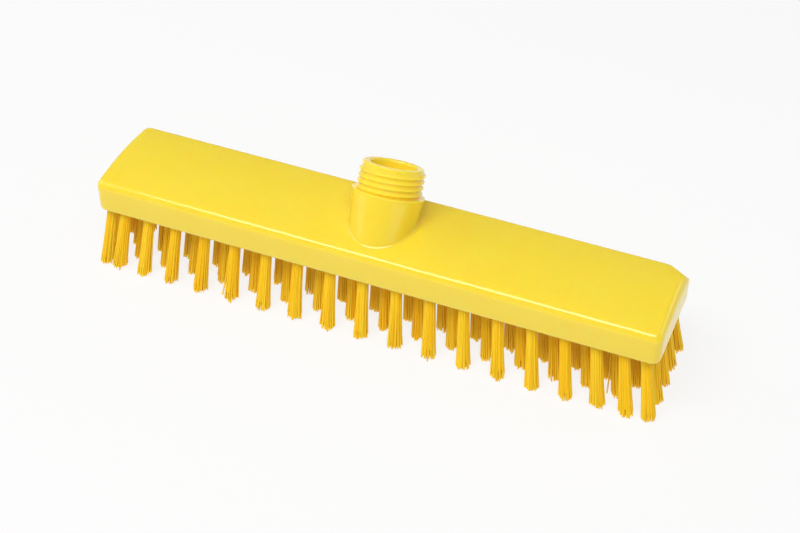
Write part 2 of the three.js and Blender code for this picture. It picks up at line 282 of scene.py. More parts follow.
@dataclass(frozen=True)
class DrawnSteel:
    """Cold-drawn steel strip, cut to length.

    It gives the eye a bright grey with fine lines along the strip.
    """

    name: str = "drawn_steel_strip"
    colour: str = "c3c6ca"
    dull_colour: str = "9ea2a7"
    roughness: tuple[float, float] = (0.25, 0.42)
    line_mm: float = 0.3
    line_length_mm: float = 8.0

    def material(self) -> bpy.types.Material:
        """Build the material.

        Returns:
            The new material.
        """
        material, tree, surface = new_material(self.name)
        place = add_node(tree, "ShaderNodeTexCoord").outputs["Object"]
        fine = per_metre(self.line_mm)
        stretch = add_node(
            tree,
            "ShaderNodeMapping",
            {"Vector": place, "Scale": (fine, per_metre(self.line_length_mm), fine)},
        )
        lines = add_node(tree, "ShaderNodeTexNoise", {"Vector": stretch.outputs["Vector"], "Scale": 1.0})
        colour = add_node(
            tree,
            "ShaderNodeMix",
            {0: lines.outputs["Fac"], 6: linear(self.dull_colour), 7: linear(self.colour)},
            data_type="RGBA",
        )
        gloss = add_node(
            tree,
            "ShaderNodeMapRange",
            {"Value": lines.outputs["Fac"], 3: self.roughness[0], 4: self.roughness[1]},
        )
        shader = add_node(
            tree,
            "ShaderNodeBsdfPrincipled",
            {"Base Color": colour.outputs[2], "Roughness": gloss.outputs["Result"], "Metallic": 1.0},
        )
        tree.links.new(shader.outputs["BSDF"], surface)
        return material


@dataclass(frozen=True)
class StudioAcrylic:
    """Frosted white acrylic over a light table.

    It gives the eye an even white ground with hardly a shadow under the brush.
    """

    name: str = "lit_white_acrylic"
    colour: str = "6c6c6c"
    light: str = "ffffff"
    roughness: float = 0.9
    glow: float = 0.8

    def material(self) -> bpy.types.Material:
        """Build the material.

        Returns:
            The new material.
        """
        material, tree, surface = new_material(self.name)
        shader = add_node(
            tree,
            "ShaderNodeBsdfPrincipled",
            {
                "Base Color": linear(self.colour),
                "Roughness": self.roughness,
                "Emission Color": linear(self.light),
                "Emission Strength": self.glow,
            },
        )
        tree.links.new(shader.outputs["BSDF"], surface)
        return material


class Skin:
    """The points and faces of one mesh while it is made, in millimetres."""

    def __init__(self) -> None:
        """Start with no points and no faces."""
        self.points: list[Vector] = []
        self.faces: list[tuple[int, ...]] = []

    def row(self, points: Iterable[Sequence[float]]) -> list[int]:
        """Add points.

        Args:
            points: The new points, in order.

        Returns:
            Their numbers.
        """
        start = len(self.points)
        self.points.extend(Vector(p) for p in points)
        return list(range(start, len(self.points)))

    def strip(self, low: Sequence[int], high: Sequence[int], closed: bool = True) -> None:
        """Join two rows of points by four-sided faces.

        Args:
            low: The first row.
            high: The second row, of the same length.
            closed: Whether the rows' ends meet.
        """
        count = len(low)
        for i in range(count if closed else count - 1):
            j = (i + 1) % count
            self.faces.append((low[i], low[j], high[j], high[i]))

    def piece(self, name: str, material: bpy.types.Material) -> bpy.types.Object:
        """Make the object, smooth apart from its sharp edges, with its faces pointing outwards.

        Args:
            name: The object's name.
            material: Its one material.

        Returns:
            The object, linked to the scene.
        """
        mesh = bpy.data.meshes.new(name)
        mesh.from_pydata([p * MM for p in self.points], [], self.faces)
        form = bmesh.new()
        form.from_mesh(mesh)
        loose = [v for v in form.verts if not v.link_faces]
        bmesh.ops.delete(form, geom=loose, context="VERTS")
        bmesh.ops.recalc_face_normals(form, faces=form.faces)
        for face in form.faces:
            face.smooth = True
        form.to_mesh(mesh)
        form.free()
        mesh.set_sharp_from_angle(angle=SHARP_EDGE)
        mesh.materials.append(material)
        piece = bpy.data.objects.new(name, mesh)
        bpy.context.scene.collection.objects.link(piece)
        return piece


@dataclass(frozen=True)
class Tuft:
    """One tuft: where it leaves the block, and where its tip stands."""

    root: tuple[float, float]
    tip: tuple[float, float]
    section: int


@dataclass
class TuftLayout:
    """Where the tufts stand: in staggered rows, with a column of tufts across each end.

    Rows that are odd from the nearer edge stand halfway between the tufts of the even ones.
    """

    length: float
    width: float
    rows: int = 6
    columns: int = 17
    end_tufts: int = 5
    inset: float = 5.7
    end_inset: float = 6.7
    ends_off: float = -1.0
    end_gap: float = 9.4
    rows_off: float = -2.0
    crowding: float = 0.06
    crowding_power: int = 5
    side_splay: float = 5.0
    end_splay: float = 6.1
    end_draw_in: float = 1.2
    sections: int = 4

    @property
    def end_column(self) -> float:
        """How far each end column stands from the middle between them."""
        return self.length / 2 - self.end_inset

    @property
    def outer_row(self) -> float:
        """How far the outer rows stand from the middle."""
        return self.width / 2 - self.inset

    def column_x(self, place: float) -> float:
        """Where a column stands along the block, closer together towards the ends.

        Args:
            place: The column's place, counted in gaps from the middle one.

        Returns:
            Its place along the block.
        """
        share = place / ((self.columns - 1) / 2)
        crowd = self.crowding * (share - share**self.crowding_power)
        return self.rows_off + (self.end_column - self.end_gap) * (share + crowd)

    @staticmethod
    def row_y(row: int, rows: int, outer: float) -> float:
        """Where a row stands across the block, counted from the front."""
        return outer * (2 * row / (rows - 1) - 1)

    def from_edge(self, row: int) -> int:
        """How many rows lie between a row and the nearer long edge: the back half mirrors the front."""
        return min(row, self.rows - 1 - row)

    def tuft(self, x: float, y: float, column: int) -> Tuft:
        """One tuft, with the section of the underside that carries it.

        Args:
            x: Where it stands along the block.
            y: Where it stands across the block.
            column: The even column that it belongs to.

        Returns:
            The tuft, leaning out from the block's middle.
        """
        tip = (x * (1 + self.end_splay / self.end_column), y * (1 + self.side_splay / self.outer_row))
        borders = [math.floor(self.columns * n / self.sections + 0.5) for n in range(1, self.sections)]
        return Tuft((x, y), tip, sum(column >= b for b in borders))

    def tufts(self) -> list[Tuft]:
        """Every tuft of the brush.

        Returns:
            The tufts of the rows from left to right, and then those of the end columns.
        """
        made = []
        for turn in range(2 * self.columns - 1):
            x = self.column_x((turn - self.columns + 1) / 2)
            for row in range(self.rows):
                if self.from_edge(row) % 2 == turn % 2:
                    made.append(self.tuft(x, self.row_y(row, self.rows, self.outer_row), turn // 2))
        for column, side in ((0, -1), (self.columns - 1, 1)):
            x = self.ends_off + side * self.end_column
            for row in range(self.end_tufts):
                y = self.row_y(row, self.end_tufts, self.outer_row - self.end_draw_in)
                made.append(self.tuft(x, y, column))
        return made


@dataclass
class BlockMoulding:
    """The block and its threaded neck, moulded in one piece, with a drilled hole for each tuft."""

    length: float
    width: float
    underside: float
    side_height: float = 17.8
    crown: float = 2.5
    top_round: float = 4.4
    foot_round: float = 2.2
    corner_radius: float = 4.7
    bevel: tuple[float, float, float] = (13.8, 8.3, 8.3)
    bevel_softness: float = 0.25
    bevel_fade: float = 1.5
    # The neck, which leans to the back
    lean: float = math.radians(30)
    neck_foot_y: float = -1.4
    collar_length: float = 15.4
    collar_foot_radius: float = 16.6
    collar_radius: float = 18.0
    lip: float = 0.3
    lip_width: float = 1.1
    lip_softness: float = 0.3
    lip_ease: float = 0.09
    shoulder_flat: float = 0.6
    fillet: float = 1.4
    fillet_pull: float = 0.77
    threaded_length: float = 14.1
    core_radius: float = 15.3
    thread_height: float = 1.2
    thread_pitch: float = 3.0
    thread_turns: float = 4.13
    thread_crest: float = 0.5
    thread_root: float = 2.7
    thread_softness: float = 0.4
    thread_start: float = 0.25
    thread_start_angle: float = math.radians(-200)
    thread_run_out: float = 0.12
    rim_round: float = 0.8
    mouth_round: float = 1.1
    bore_radius: float = 11.7
    bore_depth: float = 26.0
    rim_flat: tuple[float, float] = (1.2, 0.2)
    floor_inset: float = 0.4
    floor_dish: float = 0.15
    floor_ring_radius: float = 5.85
    # The drilled holes
    hole_radius: float = 3.15
    hole_depth: float = 3.5
    # How finely the mesh is cut
    foot_steps: int = 5
    wall_steps: int = 10
    round_steps: int = 12
    corner_steps: int = 8
    corner_reach: float = 8.0
    corner_reach_steps: int = 13
    middle_steps: int = 30
    crown_steps: int = 30
    patch_half: float = 30.0
    patch_steps: int = 28
    patch_level: int = 9
    patch_loops: int = 7
    fillet_steps: int = 8
    foot_tries: int = 30
    rim_steps: int = 5
    lip_steps: int = 3
    mouth_steps: int = 5
    bore_steps: int = 5
    collar_steps: int = 5
    thread_step: float = 0.2
    hole_sides: int = 14
    skin: Skin = field(default_factory=Skin)

    def __post_init__(self) -> None:
        """Work out the crown's circle and the line where it runs into the rounded edges."""
        half = self.width / 2
        self.top = self.underside + self.side_height + self.crown
        self.crown_radius = (half**2 + self.crown**2) / (2 * self.crown)
        self.crown_centre = self.top - self.crown_radius
        self.edge_y = half - self.top_round
        self.inner_radius = self.crown_radius - self.top_round
        self.edge_z = self.round_centre(self.edge_y)
        self.tangent = math.atan2(self.edge_z - self.crown_centre, self.edge_y)
        self.crown_end = self.crown_radius * (math.pi / 2 - self.tangent)
        self.neck_length = self.collar_length + self.threaded_length
        self.taper_end = self.collar_length - self.lip_width - self.lip

    def round_centre(self, y: float) -> float:
        """The height of the centre of the top round, under a place on the crown."""
        return self.crown_centre + math.sqrt(self.inner_radius**2 - y**2)

    def section_point(self, s: float) -> tuple[float, float]:
        """A point of the top's section.

        Args:
            s: The way along the section from the middle of the crown, positive to the back.

        Returns:
            Its place across the block and its height.
        """
        side = math.copysign(1.0, s)
        if abs(s) <= self.crown_end:
            angle = s / self.crown_radius
            z = self.crown_centre + self.crown_radius * math.cos(angle)
            return self.crown_radius * math.sin(angle), z
        angle = self.tangent - (abs(s) - self.crown_end) / self.top_round
        y = self.edge_y + self.top_round * math.cos(angle)
        return side * y, self.edge_z + self.top_round * math.sin(angle)

    def section_way(self, y: float, z: float) -> float:
        """The way along the section from the middle of the crown to a point of it.

        Args:
            y: The point's place across the block.
            z: Its height.

        Returns:
            The way, positive to the back.
        """
        angle = math.atan2(z - self.edge_z, abs(y) - self.edge_y)
        if abs(y) < self.edge_y or angle >= self.tangent:
            return self.crown_radius * math.asin(y / self.crown_radius)
        return math.copysign(self.crown_end + self.top_round * (self.tangent - angle), y)

    def stations(self) -> list[float]:
        """Where the mesh has its lines along the block: closest at the neck and at the corners.

        Returns:
            The places along the straight sides, from left to right.
        """
        straight = self.length / 2 - self.corner_radius
        fine_from = straight - self.corner_reach
        inner = np.linspace(0, self.patch_half, self.patch_steps // 2 + 1)
        middle = np.linspace(self.patch_half, fine_from, self.middle_steps + 1)[1:]
        outer = np.linspace(fine_from, straight, self.corner_reach_steps + 1)[1:]
        right = [*inner, *middle, *outer]
        return [-x for x in reversed(right[1:])] + right

    def outline(self) -> tuple[list[tuple[Vector, Vector]], dict[str, list[int]]]:
        """The block's outline from above, counter-clockwise.

        Returns:
            Each point with its outward direction, and the numbers of the points on each side.
        """
        half_x, half_y = self.length / 2, self.width / 2
        xs = self.stations()
        ys = [(half_y - self.corner_radius) * g for g in self.grading()]
        runs = {
            "front": [(Vector((x, -half_y)), Vector((0, -1))) for x in xs],
            "front_right": self.corner(1, -1, -math.pi / 2),
            "right": [(Vector((half_x, y)), Vector((1, 0))) for y in ys],
            "back_right": self.corner(1, 1, 0),
            "back": [(Vector((x, half_y)), Vector((0, 1))) for x in reversed(xs)],
            "back_left": self.corner(-1, 1, math.pi / 2),
            "left": [(Vector((-half_x, y)), Vector((-1, 0))) for y in reversed(ys)],
            "front_left": self.corner(-1, -1, math.pi),
        }
        points: list[tuple[Vector, Vector]] = []
        sides: dict[str, list[int]] = {}
        for name, run in runs.items():
            sides[name] = list(range(len(points), len(points) + len(run)))
            points.extend(run)
        return points, sides

    def corner(self, sign_x: int, sign_y: int, start: float) -> list[tuple[Vector, Vector]]:
        """The points of one rounded upright corner, without its ends.

        Args:
            sign_x: 1 for a corner on the right, -1 for one on the left.
            sign_y: 1 for a corner at the back, -1 for one at the front.
            start: The outward angle at which it starts.

        Returns:
            Each point with its outward direction.
        """
        radius = self.corner_radius
        centre = Vector((sign_x * (self.length / 2 - radius), sign_y * (self.width / 2 - radius)))
        made = []
        for i in range(1, self.corner_steps):
            angle = start + i / self.corner_steps * math.pi / 2
            out = Vector((math.cos(angle), math.sin(angle)))
            made.append((centre + radius * out, out))
        return made

    def grading(self) -> list[float]:
        """Shares from -1 to 1 across the crown, closest together at its edges."""
        return [math.sin(math.pi / 2 * u) for u in np.linspace(-1, 1, self.crown_steps + 1)]

    def wall_rows(self, outline: list[tuple[Vector, Vector]]) -> list[list[int]]:
        """Add the rows of points from the underside's edge over the walls to the crown's edge.

        Args:
            outline: The points of the outline with their outward directions.

        Returns:
            The rows, from below.
        """
        rows = []
        low = self.underside + self.foot_round
        for i in range(self.foot_steps + 1):
            angle = (i / self.foot_steps - 1) * math.pi / 2
            inset = self.foot_round * (1 - math.cos(angle))
            z = low + self.foot_round * math.sin(angle)
            rows.append(self.skin.row((*(p - inset * n), z) for p, n in outline))
        centres = [p - self.top_round * n for p, n in outline]
        highs = [self.round_centre(c.y) for c in centres]
        for i in range(1, self.wall_steps + 1):
            share = i / self.wall_steps
            made = ((*p, low + (h - low) * share) for (p, _), h in zip(outline, highs))
            rows.append(self.skin.row(made))
        for i in range(1, self.round_steps + 1):
            made = []
            for (_, n), c, h in zip(outline, centres, highs):
                up = Vector((0, c.y, h - self.crown_centre)).normalized()
                out = n.to_3d().slerp(up, i / self.round_steps)
                made.append(Vector((*c, h)) + self.top_round * out)
            rows.append(self.skin.row(made))
        return rows

    def block(self) -> list[int]:
        """Add the block's walls, rounds and crown, with a gap left round the neck.

        Returns:
            The points round that gap, counter-clockwise, from the front left.
        """
        outline, sides = self.outline()
        rows = self.wall_rows(outline)
        count = len(outline)
        lower = self.foot_steps + self.wall_steps
        gap = {
            i
            for name in ("front", "back")
            for i in sides[name]
            if abs(outline[i][0].x) <= self.patch_half + TOLERANCE
        }
        for level, (low, high) in enumerate(zip(rows, rows[1:])):
            for i in range(count):
                j = (i + 1) % count
                if level >= lower + self.patch_level and i in gap and j in gap:
                    continue
                self.skin.faces.append((low[i], low[j], high[j], high[i]))
        edge = rows[-1]
        pairs = self.line_ends(sides)
        lines = [self.crown_line(edge[a], edge[b]) for a, b in pairs]
        lines.insert(0, [edge[i] for i in reversed(sides["left"])])
        lines.append([edge[i] for i in sides["right"]])
        inside = [False] + [a in gap for a, _ in pairs] + [False]
        for n, (left, right) in enumerate(zip(lines, lines[1:])):
            if not (inside[n] and inside[n + 1]):
                self.skin.strip(left, right, closed=False)
        self.underside_face(rows[0])
        return self.gap_loop(rows[lower + self.patch_level :], sides, gap, lines, inside)

    def line_ends(self, sides: dict[str, list[int]]) -> list[tuple[int, int]]:
        """The outline's points that face each other across the block.

        Args:
            sides: The outline's points on each side.

        Returns:
            Pairs of a front point and a back point, from left to right.
        """
        front = [*sides["front_left"], *sides["front"], *sides["front_right"]]
        back = [*reversed(sides["back_left"]), *reversed(sides["back"]), *reversed(sides["back_right"])]
        return list(zip(front, back))

    def crown_line(self, front: int, back: int) -> list[int]:
        """Add the points of one line over the crown between two points of its edge.

        Args:
            front: The edge's point at the front.
            back: The one at the back.

        Returns:
            The line's points, with those two, from front to back.
        """
        a, b = self.skin.points[front], self.skin.points[back]
        made = []
        for share in self.grading()[1:-1]:
            y = b.y * share
            z = self.crown_centre + math.sqrt(self.crown_radius**2 - y**2)
            made.append(((a.x + b.x) / 2, y, z))
        return [front, *self.skin.row(made), back]

    def gap_loop(
        self,
        rows: list[list[int]],
        sides: dict[str, list[int]],
        gap: set[int],
        lines: list[list[int]],
        inside: list[bool],
    ) -> list[int]:
        """Collect the points round the gap for the neck.

        Args:
            rows: The wall's rows from the gap's level up.
            sides: The outline's points on each side.
            gap: The outline's points along the gap.
            lines: The crown's lines from left to right.
            inside: Which of them cross the gap.

        Returns:
            The points, counter-clockwise, from the front left.
        """
        front = [i for i in sides["front"] if i in gap]
        back = [i for i in sides["back"] if i in gap]
        first = inside.index(True)
        last = len(inside) - 1 - inside[::-1].index(True)
        up = range(1, len(rows) - 1)
        down = range(len(rows) - 2, 0, -1)
        loop = [rows[0][i] for i in front]
        loop += [rows[k][front[-1]] for k in up] + lines[last] + [rows[k][back[0]] for k in down]
        loop += [rows[0][i] for i in back]
        loop += [rows[k][back[-1]] for k in up] + lines[first][::-1] + [rows[k][front[0]] for k in down]
        return loop

    def underside_face(self, edge: list[int]) -> None:
        """Add the underside with its drilled holes.

        Args:
            edge: The points round it.
        """
        tufts = TuftLayout(self.length, self.width).tufts()
        rims = []
        for tuft in tufts:
            ring = []
            for i in range(self.hole_sides):
                angle = 2 * math.pi * i / self.hole_sides
                x = tuft.root[0] + self.hole_radius * math.cos(angle)
                ring.append((x, tuft.root[1] + self.hole_radius * math.sin(angle), self.underside))
            rims.append(self.skin.row(ring))
        loops = [edge, *rims]
        numbers = [i for loop in loops for i in loop]
        flat = [self.skin.points[i].to_2d() for i in numbers]
        borders = []
        start = 0
        for loop in loops:
            size = len(loop)
            borders += [(start + i, start + (i + 1) % size) for i in range(size)]
            start += size
        _, _, faces, *_ = delaunay_2d_cdt(flat, borders, [], FACES_BETWEEN_BORDERS, TOLERANCE)
        holes = [set(rim) for rim in rims]
        for face in faces:
            corners = tuple(numbers[i] for i in face)
            if not any(set(corners) <= hole for hole in holes):
                self.skin.faces.append(corners)
        for rim in rims:
            bottom = self.skin.row(self.skin.points[i] + Vector((0, 0, self.hole_depth)) for i in rim)
            self.skin.strip(rim, bottom)
            self.skin.faces.append(tuple(bottom))

    def bevel_corner(self) -> None:
        """Push what stands outside the bevel at the right rear corner back on to it."""
        along_back, along_end, down = self.bevel
        corner = Vector((self.length / 2, self.width / 2, self.underside + self.side_height))
        out = Vector((1 / along_back, 1 / along_end, 1 / down))
        reach = 1 / out.length
        out.normalize()
        for point in self.skin.points:
            past = (point - corner).dot(out) + reach
            if past > -self.bevel_fade:
                soft = (past + math.hypot(past, self.bevel_softness)) / 2
                point -= soft * out

    def neck_point(self, radius: float, angle: float, height: float) -> Vector:
        """A point round the neck's axis.

        Args:
            radius: How far it is from the axis.
            angle: The angle round the axis: 0 is to the right, and a quarter turn is to the back.
            height: The height along the axis above the crown.

        Returns:
            The point.
        """
        back = radius * math.sin(angle)
        y = self.neck_foot_y + height * math.sin(self.lean) + back * math.cos(self.lean)
        z = self.top + height * math.cos(self.lean) - back * math.sin(self.lean)
        return Vector((radius * math.cos(angle), y, z))

    def collar_at(self, height: float) -> float:
        """The radius of the tapered collar at a height along the axis."""
        share = height / self.taper_end
        return self.collar_foot_radius + (self.collar_radius - self.collar_foot_radius) * share

    def foot_height(self, angle: float) -> float:
        """Find where the collar's wall meets the crown.

        Args:
            angle: The angle round the neck's axis.

        Returns:
            The height along the axis.
        """
        height = 0.0
        for _ in range(self.foot_tries):
            point = self.neck_point(self.collar_at(height), angle, height)
            top = self.crown_centre + math.sqrt(self.crown_radius**2 - point.y**2)
            height += (top - point.z) * math.cos(self.lean)
        return height

    def thread_at(self, angle: float, height: float) -> float:
        """How far the thread stands out of the core.

        Args:
            angle: The angle round the axis.
            height: The height along the axis above the shoulder.

        Returns:
            The ridge's height there, 0 between the turns.
        """
        turn = ((angle - self.thread_start_angle) / (2 * math.pi)) % 1.0
        most = 0.0
        while turn <= self.thread_turns:
            off = abs(height - self.thread_start - turn * self.thread_pitch)
            flank = (self.thread_root / 2 - off) / ((self.thread_root - self.thread_crest) / 2)
            rise = min(1.0, max(0.0, flank))
            fade = min(1.0, min(turn, self.thread_turns - turn) / self.thread_run_out)
            soft = rise * rise * (3 - 2 * rise)
            most = max(most, (rise + (soft - rise) * self.thread_softness) * fade)
            turn += 1.0
        return most * self.thread_height

    def neck(self, gap: list[int]) -> None:
        """Add the neck, from the gap in the crown up over the rim and down to the bore's floor.

        Args:
            gap: The points round the gap.
        """
        flat = [Vector((p.x, self.section_way(p.y, p.z))) for p in (self.skin.points[i] for i in gap)]
        foot_way = self.section_way(self.neck_foot_y, self.top)
        angles = [math.atan2(f.y - foot_way, f.x) for f in flat]
        heights = [self.foot_height(a) for a in angles]
        feet = [self.neck_point(self.collar_at(h), a, h) for a, h in zip(angles, heights)]
        loop = [Vector((f.x, self.crown_radius * math.asin(f.y / self.crown_radius))) for f in feet]
        outs = []
        for i, _ in enumerate(loop):
            step = loop[(i + 1) % len(loop)] - loop[i - 1]
            outs.append(Vector((step.y, -step.x)).normalized())
        starts = [f + self.fillet * out for f, out in zip(loop, outs)]
        rings = [gap]
        for k in range(1, self.patch_loops + 1):
            share = k / self.patch_loops
            made = [a.lerp(b, share) for a, b in zip(flat, starts)]
            rings.append(self.skin.row((p.x, *self.section_point(p.y)) for p in made))
        rings += self.fillet_rings(starts, outs, angles, heights)
        for k in range(1, self.collar_steps + 1):
            share = k / self.collar_steps
            made = []
            for a, h in zip(angles, heights):
                level = (h + self.fillet) + (self.taper_end - h - self.fillet) * share
                made.append(self.neck_point(self.collar_at(level), a, level))
            rings.append(self.skin.row(made))
        for radius, height in self.lip_profile():
            rings.append(self.skin.row(self.neck_point(radius, a, height) for a in angles))
        for out, rise in self.thread_profile():
            made = []
            for a in angles:
                radius = self.core_radius + out + self.thread_at(a, rise)
                made.append(self.neck_point(radius, a, self.collar_length + rise))
            rings.append(self.skin.row(made))
        for radius, height in self.mouth_profile():
            rings.append(self.skin.row(self.neck_point(radius, a, height) for a in angles))
        for low, high in zip(rings, rings[1:]):
            self.skin.strip(low, high)
        self.skin.faces.append(tuple(rings[-1]))

    def fillet_rings(
        self,
        starts: list[Vector],
        outs: list[Vector],
        angles: list[float],
        heights: list[float],
    ) -> list[list[int]]:
        """Add the hollow round between the crown and the collar.

        Args:
            starts: Where it starts on the flattened crown.
            outs: The directions away from the collar there.
            angles: The angles round the neck's axis.
            heights: The heights of the collar's foot.

        Returns:
            The rings, from below.
        """
        pull = self.fillet_pull
        curves = []
        for start, out, angle, height in zip(starts, outs, angles, heights):
            low = Vector((start.x, *self.section_point(start.y)))
            inner = start - pull * out
            end = height + self.fillet
            curves.append(
                (
                    low,
                    Vector((inner.x, *self.section_point(inner.y))),
                    self.neck_point(self.collar_at(end - pull), angle, end - pull),
                    self.neck_point(self.collar_at(end), angle, end),
                )
            )
        rings = []
        for k in range(1, self.fillet_steps + 1):
            t = k / self.fillet_steps
            weights = ((1 - t) ** 3, 3 * t * (1 - t) ** 2, 3 * t * t * (1 - t), t**3)
            made = [sum((w * p for w, p in zip(weights, c)), Vector((0, 0, 0))) for c in curves]
            rings.append(self.skin.row(made))
        return rings

    def thread_profile(self) -> list[tuple[float, float]]:
        """The section of the threaded part's core, up to the rim.

        Returns:
            How far out of the core, and how far above the shoulder, its rings lie.
        """
        soft, top = self.lip_softness, self.threaded_length - self.rim_round
        made = [(self.shoulder_flat, 0.0), (soft, 0.0), (self.lip_ease, self.lip_ease)]
        made += [(0.0, h) for h in np.linspace(soft, top, round((top - soft) / self.thread_step) + 1)]
        for i in range(1, self.rim_steps + 1):
            angle = i / self.rim_steps * math.pi / 2
            made.append((self.rim_round * (math.cos(angle) - 1), top + self.rim_round * math.sin(angle)))
        return made

    def lip_profile(self) -> list[tuple[float, float]]:
        """The section of the collar's lip and shoulder.

        Returns:
            Radii and heights over the lip and in along the shoulder.
        """
        edge = self.collar_radius + self.lip
        soft = self.lip_softness
        low = self.collar_length - self.lip_width
        made = [(edge - self.lip_ease, low - self.lip_ease), (edge, low + soft)]
        made.append((edge, self.collar_length - soft))
        for i in range(1, self.lip_steps + 1):
            angle = i / self.lip_steps * math.pi / 2
            height = self.collar_length - soft * (1 - math.sin(angle))
            made.append((edge - soft * (1 - math.cos(angle)), height))
        made.append((edge - self.shoulder_flat, self.collar_length))
        return made

    def mouth_profile(self) -> list[tuple[float, float]]:
        """The section of the rim and the bore.

        Returns:
            Radii and heights in over the rim and down to the bore's floor.
        """
        lip = self.bore_radius + self.mouth_round
        made = [(lip + outside, self.neck_length) for outside in self.rim_flat]
        for i in range(self.mouth_steps + 1):
            angle = i / self.mouth_steps * math.pi / 2
            radius = lip - self.mouth_round * math.sin(angle)
            made.append((radius, self.neck_length - self.mouth_round * (1 - math.cos(angle))))
        floor = self.neck_length - self.bore_depth
        for height in np.linspace(self.neck_length - self.mouth_round, floor, self.bore_steps + 1)[1:]:
            made.append((self.bore_radius, height))
        for radius in (self.bore_radius - self.floor_inset, self.floor_ring_radius):
            made.append((radius, floor - self.floor_dish))
        return made

    def build(self, material: bpy.types.Material) -> bpy.types.Object:
        """Build the whole moulding.

        Args:
            material: Its plastic.

        Returns:
            The finished piece.
        """
        gap = self.block()
        self.bevel_corner()
        self.neck(gap)
        piece = self.skin.piece("block_moulding", material)
        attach(piece, BODY)
        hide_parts("brush_block")
        return piece


